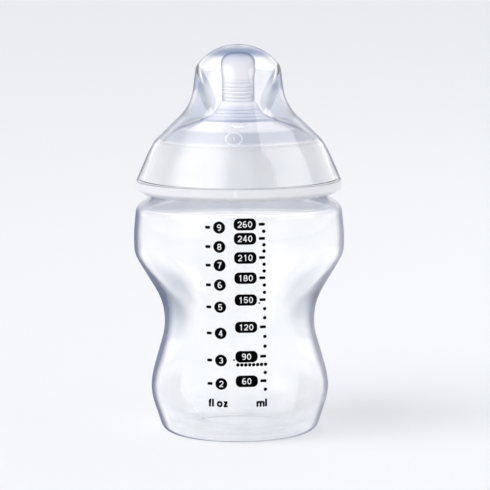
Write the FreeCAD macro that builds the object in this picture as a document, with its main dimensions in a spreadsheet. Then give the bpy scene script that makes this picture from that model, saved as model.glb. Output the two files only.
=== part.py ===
import FreeCAD, Part
import math
import os

import Sketcher

# A clear baby bottle with a pinched waist, a silicone teat held on its neck by a screw ring,
# and a clear hood that stands on the ring.  Millimetres, +Z up, the origin at the middle of the
# foot, the printed scales facing -Y.  Upright outlines are drawn as corners (across, up,
# rounding): across is the distance from the turning line, up the height above the table.

DIMENSIONS = {
    # outside of the bottle, from the foot up
    "push_up_centre": 2.7,
    "push_up_radius": 17.0,
    "push_up_height": 2.2,
    "push_up_round": 3.0,
    "foot_band_radius": 24.0,
    "foot_band_round": 1.2,
    "foot_radius": 28.4,
    "foot_round": 4.5,
    "hip_radius": 32.9,
    "hip_height": 14.0,
    "hip_round": 25.0,
    "waist_height": 36.0,
    "waist_round": 60.0,
    "chest_radius": 38.6,
    "chest_height": 62.0,
    "widest_radius": 38.9,
    "widest_height": 74.0,
    "shoulder_radius": 37.9,
    "shoulder_height": 83.9,
    "shoulder_round": 4.0,
    "neck_radius": 30.2,
    "neck_base_height": 89.2,
    "neck_base_round": 1.5,
    "neck_top_height": 100.0,
    "bottle_wall": 1.4,
    "bottle_floor": 1.5,
    # grips scooped out of the sides of the bottle
    "grip_offset": 17.0,
    "grip_top_width": 42.0,
    "grip_top_height": 72.05,
    "grip_waist_width": 25.72,
    "grip_waist_height": 44.96,
    "grip_waist_round": 24.3,
    "grip_low_width": 37.0,
    "grip_low_height": 5.7,
    "grip_outer_width": 60.0,
    "grip_crease_round": 12.0,
    # screw thread, one start
    "thread_lead": 4.0,
    "thread_root_width": 1.8,
    "thread_crest_width": 0.8,
    "thread_bed": 0.5,
    "bottle_thread_radius": 31.8,
    "bottle_thread_height": 90.4,
    "bottle_thread_turns": 1.75,
    "ring_thread_radius": 30.45,
    "ring_thread_drop": 1.45,
    "ring_thread_turns": 1.0,
    "ring_thread_start": 150.0,
    # screw ring
    "ring_bottom_height": 88.8,
    "ring_bore_radius": 32.05,
    "ring_bore_height": 98.2,
    "ring_foot_radius": 35.2,
    "ring_foot_round": 1.5,
    "ring_band_radius": 38.0,
    "ring_band_height": 90.3,
    "ring_band_round": 1.2,
    "ring_seat_height": 93.4,
    "ring_cone_radius": 35.3,
    "ring_ledge_radius": 29.45,
    "ring_ledge_height": 106.5,
    "ring_ledge_round": 0.15,
    "ring_lip_radius": 29.0,
    "ring_lip_base_height": 106.6,
    "ring_lip_height": 108.2,
    "ring_lip_round": 0.25,
    "ring_mouth_radius": 28.4,
    "ring_mouth_height": 106.4,
    "ring_throat_radius": 27.9,
    "ring_throat_height": 104.6,
    "ring_shoulder_radius": 30.2,
    "ring_shoulder_height": 102.0,
    "ring_edge_round": 0.4,
    "ring_nub_width": 1.1,
    "ring_nub_base_height": 90.9,
    "ring_nub_height": 2.1,
    "ring_nub_depth": 36.5,
    "ring_nub_reach": 38.3,
    # hood
    "hood_base_height": 93.45,
    "hood_base_radius": 37.8,
    "hood_bulge_radius": 33.2,
    "hood_bulge_height": 104.0,
    "hood_bulge_round": 40.0,
    "hood_dome_radius": 10.94,
    "hood_top_height": 143.4,
    "hood_dome_round": 18.3,
    "hood_wall": 1.5,
    "dent_offset": 11.7,
    "dent_top_width": 14.5,
    "dent_top_height": 143.4,
    "dent_waist_width": 17.38,
    "dent_waist_height": 121.2,
    "dent_waist_round": 17.0,
    "dent_low_width": 34.0,
    "dent_low_height": 105.06,
    "dent_outer_width": 45.0,
    "dent_crease_round": 2.2,
    # teat, outside
    "nipple_top_height": 140.7,
    "nipple_radius": 6.35,
    "nipple_shoulder_height": 140.3,
    "nipple_round": 4.2,
    "nipple_base_height": 133.4,
    "stem_radius": 5.9,
    "stem_top_height": 130.4,
    "stem_base_height": 122.4,
    "stem_round": 5.0,
    "step_first_radius": 8.0,
    "step_first_height": 119.7,
    "step_run": 1.9,
    "step_drop": 1.1,
    "step_edge": 0.35,
    "dome_radius": 22.4,
    "dome_height": 112.7,
    "dome_round": 4.0,
    "skirt_radius": 27.3,
    "skirt_height": 108.4,
    "skirt_round": 2.5,
    "collar_radius": 28.0,
    "collar_height": 106.2,
    "groove_radius": 27.6,
    "groove_height": 104.3,
    "flange_radius": 29.8,
    "flange_top_height": 101.7,
    "flange_base_height": 100.3,
    "teat_edge_round": 0.4,
    # teat, inside
    "teat_mouth_radius": 26.2,
    "teat_mouth_height": 107.7,
    "teat_dome_radius": 21.6,
    "teat_dome_height": 111.3,
    "teat_flare_radius": 13.6,
    "teat_flare_height": 113.9,
    "teat_throat_radius": 4.7,
    "teat_throat_height": 121.4,
    "teat_bore_height": 131.0,
    "teat_tip_radius": 5.2,
    "teat_tip_height": 133.6,
    "teat_roof_height": 139.2,
    "teat_roof_round": 3.3,
    "outlet_radius": 0.3,
    # fine ribs round the stem
    "rib_first_height": 122.9,
    "rib_spacing": 1.35,
    "rib_count": 6,
    "rib_width": 0.55,
    "rib_rise": 0.22,
    # printed scales
    "print_gap": 0.02,
    "print_skin": 0.08,
    "pad_width": 8.0,
    "pad_height": 4.2,
    "pad_round": 1.9,
    "pad_across": 2.4,
    "tick_width": 2.2,
    "tick_height": 0.9,
    "tick_across": 8.4,
    "dot_radius": 0.6,
    "dot_across": 9.05,
    "disc_radius": 2.15,
    "disc_across": -6.9,
    "disc_tick_width": 1.8,
    "disc_tick_across": -10.95,
    "full_line_dots": 8,
    "full_line_start": -0.85,
    "full_line_spacing": 1.42,
}

# How high the numbered millilitre marks are printed.  The others lie evenly between them.
ML_HEIGHTS = {50: 20.55, 60: 23.7, 90: 32.7, 120: 43.65, 150: 53.85, 180: 61.95, 210: 69.3,
              240: 76.15, 260: 81.2}
ML_NUMBERED = (60, 90, 120, 150, 180, 210, 240, 260)
ML_STEP = 10
ML_DOTTED_LINE = 80
FL_OZ_NUMBERED = (2, 3, 4, 5, 6, 7, 8, 9)
ML_PER_FL_OZ = 28.41


class Size:
    """A length that carries both its value and its expression on the sheet."""

    def __init__(self, text, value):
        self.text = text
        self.value = value

    def __add__(self, other):
        return Size(f"({self.text} + {other.text})", self.value + other.value)

    def __sub__(self, other):
        return Size(f"({self.text} - {other.text})", self.value - other.value)

    def __mul__(self, other):
        factor = other if isinstance(other, Size) else Size(str(other), other)
        return Size(f"({self.text} * {factor.text})", self.value * factor.value)


def size(alias):
    return Size(f"Dimensions.{alias}", DIMENSIONS[alias])


ZERO = Size("0", 0.0)


def make_sheet(doc):
    sheet = doc.addObject("Spreadsheet::Sheet", "Dimensions")
    for row, (alias, value) in enumerate(DIMENSIONS.items(), start=1):
        sheet.set(f"A{row}", str(value))
        sheet.setAlias(f"A{row}", alias)
    doc.recompute()


def origin_plane(body, role):
    return next(feature for feature in body.Origin.OriginFeatures if feature.Role == role)


def towards(start, end, length):
    step = end - start
    return start + step * (length / step.Length)


def bind_point(sketch, geometry, position, across, up):
    """Ties one point of a sketch to the sheet; a coordinate of ZERO lies on the sketch's axis."""
    for kind, length, axis in (("DistanceX", across, -2), ("DistanceY", up, -1)):
        if length is ZERO:
            on_axis = Sketcher.Constraint("PointOnObject", geometry, position, axis)
            sketch.addConstraint(on_axis)
            continue
        distance = Sketcher.Constraint(kind, -1, 1, geometry, position, length.value)
        index = sketch.addConstraint(distance)
        sketch.setExpression(f"Constraints[{index}]", length.text)


def outline(body, name, corners):
    """A closed upright sketch through corners (across, up, rounding or None)."""
    sketch = body.newObject("Sketcher::SketchObject", name)
    sketch.AttachmentSupport = (origin_plane(body, "XZ_Plane"), [""])
    sketch.MapMode = "FlatFace"

    points = [FreeCAD.Vector(across.value, up.value, 0) for across, up, _ in corners]
    following = points[1:] + points[:1]
    arrivals = []
    middles = []
    departures = []
    for i, (_, _, rounding) in enumerate(corners):
        corner, before, after = points[i], points[i - 1], following[i]
        radius = rounding.value if rounding else 0.0
        half_angle = (before - corner).getAngle(after - corner) / 2
        cut_back = radius / math.tan(half_angle)
        arrivals.append(towards(corner, before, cut_back))
        departures.append(towards(corner, after, cut_back))
        bisector = towards(corner, before, 1) + towards(corner, after, 1) - corner
        middles.append(towards(corner, bisector, radius / math.sin(half_angle) - radius))

    next_arrivals = arrivals[1:] + arrivals[:1]
    sides = [
        sketch.addGeometry(Part.LineSegment(leave, arrive), False)
        for leave, arrive in zip(departures, next_arrivals)
    ]
    for i, (across, up, rounding) in enumerate(corners):
        side_in, side_out = sides[i - 1], sides[i]
        if rounding is None:
            sketch.addConstraint(Sketcher.Constraint("Coincident", side_in, 2, side_out, 1))
            bind_point(sketch, side_out, 1, across, up)
            continue
        corner = sketch.addGeometry(Part.Point(points[i]), True)
        bind_point(sketch, corner, 1, across, up)
        sketch.addConstraint(Sketcher.Constraint("PointOnObject", corner, 1, side_in))
        sketch.addConstraint(Sketcher.Constraint("PointOnObject", corner, 1, side_out))
        arc = sketch.addGeometry(Part.Arc(arrivals[i], middles[i], departures[i]), False)
        starts_at_arrival = (sketch.getPoint(arc, 1) - arrivals[i]).Length < 1e-6
        first, last = (1, 2) if starts_at_arrival else (2, 1)
        sketch.addConstraint(Sketcher.Constraint("Tangent", side_in, 2, arc, first))
        sketch.addConstraint(Sketcher.Constraint("Tangent", side_out, 1, arc, last))
        index = sketch.addConstraint(Sketcher.Constraint("Radius", arc, rounding.value))
        sketch.setExpression(f"Constraints[{index}]", rounding.text)
    return sketch


def revolve(doc, body, name, corners):
    turned = body.newObject("PartDesign::Revolution", name)
    sketch = outline(body, f"{name}_outline", corners)
    turned.Profile = sketch
    turned.ReferenceAxis = (sketch, ["V_Axis"])
    turned.Angle = 360
    doc.recompute()
    return turned


def scoop_both_sides(doc, body, name, offset, corners, crease_round):
    """A hollow turned about an upright line beyond the middle, mirrored, with soft creases."""
    before = body.Shape.Volume
    sketch = outline(body, f"{name}_outline", corners)
    sketch.AttachmentOffset = FreeCAD.Placement(
        FreeCAD.Vector(-offset.value, 0, 0), FreeCAD.Rotation()
    )
    sketch.setExpression("AttachmentOffset.Base.x", f"-{offset.text}")
    scoop = body.newObject("PartDesign::Groove", name)
    scoop.Profile = sketch
    scoop.ReferenceAxis = (sketch, ["V_Axis"])
    scoop.Angle = 360
    doc.recompute()
    mirrored = body.newObject("PartDesign::Mirrored", f"{name}_mirrored")
    mirrored.Originals = [scoop]
    mirrored.MirrorPlane = (origin_plane(body, "YZ_Plane"), [""])
    body.Tip = mirrored
    doc.recompute()
    if not mirrored.Shape.Volume < before:
        raise RuntimeError(f"{name} cuts nothing")

    # Seams lie in the plane of the turning lines and circles lie level; creases do neither.
    creases = [
        f"Edge{number}"
        for number, edge in enumerate(mirrored.Shape.Edges, start=1)
        if edge.BoundBox.ZLength > 0.01 and edge.BoundBox.YLength > 0.01
    ]
    softened = body.newObject("PartDesign::Fillet", f"{name}_creases")
    softened.Base = (mirrored, creases)
    softened.Radius = crease_round.value
    softened.setExpression("Radius", crease_round.text)
    body.Tip = softened
    doc.recompute()


def add_thread(doc, body, name, bed, crest, height, turns, start=ZERO):
    """One right-hand helical ridge from bed to crest, starting at the angle start about +Z."""
    half_root = size("thread_root_width") * 0.5
    half_crest = size("thread_crest_width") * 0.5
    sketch = outline(body, f"{name}_outline", [
        (bed, height - half_root, None),
        (crest, height - half_crest, None),
        (crest, height + half_crest, None),
        (bed, height + half_root, None),
    ])
    about_upright = FreeCAD.Rotation(FreeCAD.Vector(0, 1, 0), start.value)
    sketch.AttachmentOffset = FreeCAD.Placement(FreeCAD.Vector(), about_upright)
    sketch.setExpression("AttachmentOffset.Rotation.Angle", start.text)
    ridge = body.newObject("PartDesign::AdditiveHelix", name)
    ridge.Profile = sketch
    ridge.ReferenceAxis = (sketch, ["V_Axis"])
    ridge.Mode = "pitch-turns-angle"
    ridge.setExpression("Pitch", "Dimensions.thread_lead")
    ridge.setExpression("Turns", turns.text)
    ridge.Angle = 0
    ridge.LeftHanded = False
    body.Tip = ridge
    doc.recompute()


def bottle_form(doc, name, inset, floor, lift):
    """The bottle's form drawn in by inset: its outside with none, its cavity with the wall."""
    body = doc.addObject("PartDesign::Body", name)
    soft = inset * 0.6
    revolve(doc, body, f"{name}_turned", [
        (ZERO, size("push_up_centre") + floor, None),
        (size("push_up_radius"), size("push_up_height") + floor, size("push_up_round")),
        (size("foot_band_radius"), floor, size("foot_band_round")),
        (size("foot_radius") - inset, floor, size("foot_round") - inset),
        (size("hip_radius") - inset, size("hip_height"), size("hip_round")),
        (size("hip_radius") - inset, size("waist_height"), size("waist_round")),
        (size("chest_radius") - inset, size("chest_height"), size("waist_round")),
        (size("widest_radius") - inset, size("widest_height"), size("waist_round")),
        (size("shoulder_radius") - inset, size("shoulder_height") - soft,
         size("shoulder_round") - soft),
        (size("neck_radius") - inset, size("neck_base_height") - soft,
         size("neck_base_round") + inset),
        (size("neck_radius") - inset, size("neck_top_height") + lift, None),
        (ZERO, size("neck_top_height") + lift, None),
    ])
    offset = size("grip_offset")
    scoop_both_sides(doc, body, f"{name}_grip", offset, [
        (offset + size("grip_top_width") - inset, size("grip_top_height"), None),
        (offset + size("grip_waist_width") - inset, size("grip_waist_height"),
         size("grip_waist_round") + inset),
        (offset + size("grip_low_width") - inset, size("grip_low_height"), None),
        (offset + size("grip_outer_width"), size("grip_low_height"), None),
        (offset + size("grip_outer_width"), size("grip_top_height"), None),
    ], size("grip_crease_round") - inset)
    return body


def make_bottle(doc):
    outside = bottle_form(doc, "bottle_outside", ZERO, ZERO, ZERO)
    add_thread(
        doc, outside, "bottle_thread",
        bed=size("neck_radius") - size("thread_bed"),
        crest=size("bottle_thread_radius"),
        height=size("bottle_thread_height"),
        turns=size("bottle_thread_turns"),
    )
    wall = size("bottle_wall")
    cavity = bottle_form(doc, "bottle_cavity", wall, size("bottle_floor"), wall)
    bottle = doc.addObject("Part::Cut", "bottle")
    bottle.Base = outside
    bottle.Tool = cavity
    return bottle


def make_ring(doc):
    body = doc.addObject("PartDesign::Body", "screw_ring")
    edge = size("ring_edge_round")
    revolve(doc, body, "ring_turned", [
        (size("ring_bore_radius"), size("ring_bottom_height"), edge),
        (size("ring_foot_radius"), size("ring_bottom_height"), size("ring_foot_round")),
        (size("ring_band_radius"), size("ring_band_height"), size("ring_band_round")),
        (size("ring_band_radius"), size("ring_seat_height"), edge),
        (size("ring_cone_radius"), size("ring_seat_height"), None),
        (size("ring_ledge_radius"), size("ring_ledge_height"), size("ring_ledge_round")),
        (size("ring_lip_radius"), size("ring_lip_base_height"), None),
        (size("ring_lip_radius"), size("ring_lip_height"), size("ring_lip_round")),
        (size("ring_mouth_radius"), size("ring_lip_height"), size("ring_lip_round")),
        (size("ring_mouth_radius"), size("ring_mouth_height"), None),
        (size("ring_throat_radius"), size("ring_throat_height"), edge),
        (size("ring_throat_radius"), size("ring_shoulder_height"), edge),
        (size("ring_shoulder_radius"), size("ring_shoulder_height"), edge),
        (size("ring_bore_radius"), size("ring_bore_height"), None),
    ])

    # The ring's ridge runs just below the bottle's, wherever round the neck it starts.
    start = size("ring_thread_start")
    climb = size("thread_lead") * start * (1 / 360)
    add_thread(
        doc, body, "ring_thread",
        bed=size("ring_bore_radius") + size("thread_bed"),
        crest=size("ring_thread_radius"),
        height=size("bottle_thread_height") + climb - size("ring_thread_drop"),
        turns=size("ring_thread_turns"),
        start=start,
    )

    # The small nub at the front of the band, just under the edge of the hood.
    half_width = size("ring_nub_width") * 0.5
    top = size("ring_nub_base_height") + size("ring_nub_height")
    sketch = outline(body, "ring_nub_outline", [
        (ZERO - half_width, size("ring_nub_base_height"), None),
        (half_width, size("ring_nub_base_height"), None),
        (half_width, top, None),
        (ZERO - half_width, top, None),
    ])
    sketch.AttachmentOffset = FreeCAD.Placement(
        FreeCAD.Vector(0, 0, DIMENSIONS["ring_nub_depth"]), FreeCAD.Rotation()
    )
    sketch.setExpression("AttachmentOffset.Base.z", "Dimensions.ring_nub_depth")
    nub = body.newObject("PartDesign::Pad", "ring_nub")
    nub.Profile = sketch
    reach = size("ring_nub_reach") - size("ring_nub_depth")
    nub.Length = reach.value
    nub.setExpression("Length", reach.text)
    body.Tip = nub
    doc.recompute()
    return body


def hood_form(doc, name, inset, drop):
    """The hood's form drawn in by inset: its outside with none, its cavity with the wall."""
    body = doc.addObject("PartDesign::Body", name)
    # The slanted side reaches the lower roof of the cavity a little further out.
    revolve(doc, body, f"{name}_turned", [
        (ZERO, size("hood_base_height") - drop, None),
        (size("hood_base_radius") - inset, size("hood_base_height") - drop, None),
        (size("hood_bulge_radius") - inset, size("hood_bulge_height"), size("hood_bulge_round")),
        (size("hood_dome_radius") - inset * 0.43, size("hood_top_height") - inset,
         size("hood_dome_round") - inset),
        (ZERO, size("hood_top_height") - inset, None),
    ])
    offset = size("dent_offset")
    scoop_both_sides(doc, body, f"{name}_dent", offset, [
        (offset + size("dent_top_width") - inset, size("dent_top_height"), None),
        (offset + size("dent_waist_width") - inset, size("dent_waist_height"),
         size("dent_waist_round") + inset),
        (offset + size("dent_low_width") - inset, size("dent_low_height"), None),
        (offset + size("dent_outer_width"), size("dent_low_height"), None),
        (offset + size("dent_outer_width"), size("dent_top_height"), None),
    ], size("dent_crease_round") - inset * 0.6)
    return body


def make_hood(doc):
    outside = hood_form(doc, "hood_outside", ZERO, ZERO)
    wall = size("hood_wall")
    cavity = hood_form(doc, "hood_cavity", wall, wall)
    hood = doc.addObject("Part::Cut", "hood")
    hood.Base = outside
    hood.Tool = cavity
    return hood


def make_teat(doc):
    body = doc.addObject("PartDesign::Body", "teat")
    edge = size("teat_edge_round")
    steps = []
    radius = size("step_first_radius")
    height = size("step_first_height")
    for _ in range(4):
        steps.append((radius, height, None))
        steps.append((radius, height - size("step_edge"), None))
        radius = radius + size("step_run")
        height = height - size("step_drop")
    revolve(doc, body, "teat_turned", [
        (ZERO, size("nipple_top_height"), None),
        (size("nipple_radius"), size("nipple_shoulder_height"), size("nipple_round")),
        (size("nipple_radius"), size("nipple_base_height"), size("stem_round")),
        (size("stem_radius"), size("stem_top_height"), size("stem_round")),
        (size("stem_radius"), size("stem_base_height"), size("stem_round")),
        *steps,
        (size("dome_radius"), size("dome_height"), size("dome_round")),
        (size("skirt_radius"), size("skirt_height"), size("skirt_round")),
        (size("collar_radius"), size("collar_height"), edge),
        (size("groove_radius"), size("groove_height"), edge),
        (size("groove_radius"), size("flange_top_height"), edge),
        (size("flange_radius"), size("flange_top_height"), edge),
        (size("flange_radius"), size("flange_base_height"), edge),
        (size("teat_mouth_radius"), size("flange_base_height"), edge),
        (size("teat_mouth_radius"), size("teat_mouth_height"), size("skirt_round")),
        (size("teat_dome_radius"), size("teat_dome_height"), size("dome_round")),
        (size("teat_flare_radius"), size("teat_flare_height"), size("dome_round")),
        (size("teat_throat_radius"), size("teat_throat_height"), size("stem_round")),
        (size("teat_throat_radius"), size("teat_bore_height"), None),
        (size("teat_tip_radius"), size("teat_tip_height"), None),
        (size("teat_tip_radius"), size("teat_roof_height"), size("teat_roof_round")),
        (ZERO, size("teat_roof_height"), None),
    ])

    # Fine rounded ribs up the stem.
    half_width = size("rib_width") * 0.5
    rib_height = size("rib_first_height")
    rib = revolve(doc, body, "stem_rib", [
        (size("stem_radius") - half_width, rib_height - half_width, None),
        (size("stem_radius") + size("rib_rise"), rib_height - size("rib_rise") * 0.5, None),
        (size("stem_radius") + size("rib_rise"), rib_height + size("rib_rise") * 0.5, None),
        (size("stem_radius") - half_width, rib_height + half_width, None),
    ])
    ribs = body.newObject("PartDesign::LinearPattern", "stem_ribs")
    ribs.Originals = [rib]
    ribs.Direction = (origin_plane(body, "Z_Axis"), [""])
    ribs.setExpression("Length", "Dimensions.rib_spacing * (Dimensions.rib_count - 1)")
    ribs.setExpression("Occurrences", "Dimensions.rib_count")
    body.Tip = ribs
    doc.recompute()

    # The milk outlet through the tip.
    sketch = body.newObject("Sketcher::SketchObject", "outlet_outline")
    sketch.AttachmentSupport = (origin_plane(body, "XY_Plane"), [""])
    sketch.MapMode = "FlatFace"
    sketch.AttachmentOffset = FreeCAD.Placement(
        FreeCAD.Vector(0, 0, DIMENSIONS["nipple_top_height"]), FreeCAD.Rotation()
    )
    sketch.setExpression("AttachmentOffset.Base.z", "Dimensions.nipple_top_height")
    middle = FreeCAD.Vector(0, 0, 0)
    upward = FreeCAD.Vector(0, 0, 1)
    circle = sketch.addGeometry(Part.Circle(middle, upward, DIMENSIONS["outlet_radius"]), False)
    sketch.addConstraint(Sketcher.Constraint("Coincident", circle, 3, -1, 1))
    index = sketch.addConstraint(
        Sketcher.Constraint("Radius", circle, DIMENSIONS["outlet_radius"])
    )
    sketch.setExpression(f"Constraints[{index}]", "Dimensions.outlet_radius")
    before = body.Shape.Volume
    outlet = body.newObject("PartDesign::Pocket", "outlet")
    outlet.Profile = sketch
    depth = (size("nipple_top_height") - size("teat_roof_height")) * 2
    outlet.Length = depth.value
    outlet.setExpression("Length", depth.text)
    body.Tip = outlet
    doc.recompute()
    if not outlet.Shape.Volume < before:
        raise RuntimeError("the outlet cuts nothing")
    return body


def height_of(volume):
    """The height of a mark for some millilitres."""
    heights = sorted(ML_HEIGHTS.items())
    for (less, low), (more, high) in zip(heights, heights[1:]):
        if less <= volume <= more:
            return low + (high - low) * (volume - less) / (more - less)
    raise ValueError(f"the scale does not reach {volume} ml")


def upright_prism(edges):
    """The upright outline made by the edges, carried forward out through the bottle's front."""
    face = Part.Face(Part.Wire(edges))
    reach = FreeCAD.Vector(0, -(DIMENSIONS["widest_radius"] + 5), 0)
    return face.extrude(reach)


def disc(across, up, radius):
    centre = FreeCAD.Vector(across, 0, up)
    return upright_prism([Part.makeCircle(radius, centre, FreeCAD.Vector(0, 1, 0))])


def bar(across, up, width, height, rounding):
    """A rectangle with rounded corners, centred at (across, up)."""
    right = width / 2 - rounding
    top = height / 2 - rounding
    arcs = []
    corners = [(right, top, 0), (-right, top, 90), (-right, -top, 180), (right, -top, 270)]
    for x, z, start in corners:
        centre = FreeCAD.Vector(across + x, 0, up + z)
        turns = [math.radians(start + part) for part in (0, 45, 90)]
        arcs.append([
            centre + FreeCAD.Vector(rounding * math.cos(turn), 0, rounding * math.sin(turn))
            for turn in turns
        ])
    edges = []
    for arc, following in zip(arcs, arcs[1:] + arcs[:1]):
        edges.append(Part.Arc(*arc).toShape())
        edges.append(Part.LineSegment(arc[-1], following[0]).toShape())
    return upright_prism(edges)


def make_prints(doc):
    """The printed scales: a thin skin of ink lying on the front of the bottle."""
    gap = ZERO - size("print_gap")
    inner = bottle_form(doc, "print_inside", gap, ZERO, ZERO)
    outer = bottle_form(doc, "print_outside", gap - size("print_skin"), ZERO, ZERO)
    skin = outer.Shape.cut(inner.Shape)
    sizes = DIMENSIONS

    ml_marks = []
    for volume in range(min(ML_HEIGHTS), max(ML_HEIGHTS) + 1, ML_STEP):
        up = height_of(volume)
        if volume in ML_NUMBERED:
            ml_marks.append(bar(sizes["pad_across"], up, sizes["pad_width"],
                                sizes["pad_height"], sizes["pad_round"]))
            ml_marks.append(bar(sizes["tick_across"], up, sizes["tick_width"],
                                sizes["tick_height"], sizes["tick_height"] * 0.3))
        elif volume == ML_DOTTED_LINE:
            for i in range(sizes["full_line_dots"]):
                across = sizes["full_line_start"] + sizes["full_line_spacing"] * i
                ml_marks.append(disc(across, up, sizes["dot_radius"]))
        else:
            ml_marks.append(disc(sizes["dot_across"], up, sizes["dot_radius"]))

    fl_oz_marks = []
    for ounces in FL_OZ_NUMBERED:
        up = height_of(ounces * ML_PER_FL_OZ)
        fl_oz_marks.append(disc(sizes["disc_across"], up, sizes["disc_radius"]))
        fl_oz_marks.append(bar(sizes["disc_tick_across"], up, sizes["disc_tick_width"],
                               sizes["tick_height"], sizes["tick_height"] * 0.3))

    prints = []
    for name, marks in (("ml_scale_print", ml_marks), ("fl_oz_scale_print", fl_oz_marks)):
        ink = doc.addObject("Part::Feature", name)
        ink.Shape = Part.makeCompound([skin.common(mark).Solids[0] for mark in marks])
        ink.Placement = FreeCAD.Placement()
        prints.append(ink)
    return prints


def check(doc, parts):
    for feature in doc.Objects:
        if "Invalid" in feature.State or "Error" in feature.State:
            raise RuntimeError(f"{feature.Name} failed: {feature.State}")
    for part in parts:
        if part.Shape.isNull() or not part.Shape.isValid():
            raise RuntimeError(f"{part.Label} has no valid shape")


doc = FreeCAD.newDocument("BabyBottle")
make_sheet(doc)
bottle = make_bottle(doc)
ring = make_ring(doc)
hood = make_hood(doc)
teat = make_teat(doc)
doc.recompute()
prints = make_prints(doc)
parts = [bottle, ring, teat, hood, *prints]
doc.recompute()
check(doc, parts)
os.makedirs("parts", exist_ok=True)
for part in parts:
    part.Shape.exportStep(f"parts/{part.Label}.step")
    print(part.Label, len(part.Shape.Solids), round(part.Shape.Volume, 1))
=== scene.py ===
import math

import bmesh
import bpy
import numpy as np
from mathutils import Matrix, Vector
from mathutils.geometry import delaunay_2d_cdt


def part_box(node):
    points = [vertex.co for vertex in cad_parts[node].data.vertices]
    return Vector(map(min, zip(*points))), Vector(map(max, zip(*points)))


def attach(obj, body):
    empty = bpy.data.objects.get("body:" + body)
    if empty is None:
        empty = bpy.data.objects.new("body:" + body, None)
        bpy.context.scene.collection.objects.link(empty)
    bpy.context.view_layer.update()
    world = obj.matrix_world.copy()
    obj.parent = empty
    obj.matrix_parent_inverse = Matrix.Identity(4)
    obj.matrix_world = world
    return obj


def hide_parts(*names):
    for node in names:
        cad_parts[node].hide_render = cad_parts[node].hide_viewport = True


# A clear baby bottle with a silicone teat under a clear hood.  The moulded pieces are remade here
# as smooth skins, because clear plastic shows every facet.  Their outlines are the CAD model's but
# for a softer foot and floor in the bottle, and small corners in the ring and the teat's stem.
# Outlines are in millimetres, as corners (across, up, rounding).

MM = 0.001
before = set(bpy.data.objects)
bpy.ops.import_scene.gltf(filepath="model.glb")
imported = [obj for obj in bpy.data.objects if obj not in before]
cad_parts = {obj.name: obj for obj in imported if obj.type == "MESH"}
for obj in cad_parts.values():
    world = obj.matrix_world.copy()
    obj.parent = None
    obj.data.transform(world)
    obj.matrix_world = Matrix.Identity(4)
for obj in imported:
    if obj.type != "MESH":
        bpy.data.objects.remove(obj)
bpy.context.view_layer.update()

# ---------------------------------------------------------------------------------------------
# Outlines
# ---------------------------------------------------------------------------------------------

BOTTLE_WALL = 1.4
HOOD_WALL = 1.5

# The bottle's waist has a scoop in each side, and the hood a dent.  Each is turned about a line of
# its own, which lies beyond the piece's axis by the offset.  The outline says how far the scoop
# stays from the axis at each height, and the softness how far its crease is rounded off.
GRIP_OFFSET = 17.0
GRIP_OUTLINE = [(42.0, 72.05, 0.0), (25.72, 44.96, 24.3), (37.0, 5.7, 0.0)]
GRIP_SOFTNESS = 1.3

DENT_OFFSET = 11.7
DENT_OUTLINE = [(14.5, 143.4, 0.0), (17.38, 121.2, 17.0), (49.5, 90.0, 0.0)]
DENT_SOFTNESS = 0.5

NECK_RADIUS = 30.2

# The thread's lead, its width at the root and at the crest, and how far it stands out.  Its skin
# has a row of points every step up.
THREAD_LEAD = 4.0
THREAD_ROOT = 1.8
THREAD_CREST = 0.8
THREAD_REACH = 1.6
THREAD_STEP = 0.2

# How high each thread starts and for how many turns it runs.  The neck's starts at the right, and
# the ring's so many degrees further round.  The ring's lies below the neck's by the drop, so that
# their flanks clear each other.
NECK_THREAD_FOOT = 90.4
NECK_THREAD_TURNS = 1.75
RING_THREAD_START = 150
RING_THREAD_DROP = 1.45
RING_THREAD_FOOT = NECK_THREAD_FOOT + THREAD_LEAD * RING_THREAD_START / 360 - RING_THREAD_DROP
RING_THREAD_TURNS = 1.0

# How high the lowest dot and the numbered millilitre marks are printed.  The other marks lie
# evenly between them.
ML_HEIGHTS = {50: 20.55, 60: 23.7, 90: 32.7, 120: 43.65, 150: 53.85, 180: 61.95, 210: 69.3,
              240: 76.15, 260: 81.2}
ML_NUMBERED = (60, 90, 120, 150, 180, 210, 240, 260)
ML_DOTTED_LINE = 80
ML_PER_FL_OZ = 28.41


def bottle_side(inset):
    """The side of the bottle from its hip up to the neck, drawn in by inset."""
    soft = inset * 0.6
    return [
        (32.9 - inset, 14.0, 25.0),
        (32.9 - inset, 36.0, 60.0),
        (38.6 - inset, 62.0, 60.0),
        (38.9 - inset, 74.0, 60.0),
        (37.9 - inset, 83.9 - soft, 4.0 - soft),
        (NECK_RADIUS - inset, 89.2 - soft, 1.5 + inset),
    ]


def bottle_outside():
    """The outside from the middle of the foot's push-up to where the thread's rows start."""
    foot = [(0.0, 2.7, 0.0), (17.0, 2.2, 14.0), (24.0, 0.0, 6.0), (28.3, 0.0, 4.5)]
    return foot + bottle_side(0.0) + [(NECK_RADIUS, 89.9, 0.0)]


def bottle_inside(rim):
    """The inside from the middle of the floor to the rim.

    The floor curves up into the side more gently than in the CAD model.
    """
    floor = [(0.0, 4.2, 0.0), (17.0, 3.7, 14.0), (26.6, 1.6, 9.0)]
    return floor + bottle_side(BOTTLE_WALL) + [(NECK_RADIUS - BOTTLE_WALL, rim, 0.0)]


def hood_outline(inset):
    """The hood from the middle of its top down to its edge, drawn in by inset."""
    return [
        (0.0, 143.4 - inset, 0.0),
        (10.94 - inset * 0.43, 143.4 - inset, 18.3 - inset),
        (33.2 - inset, 104.0, 40.0),
    ]


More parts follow.
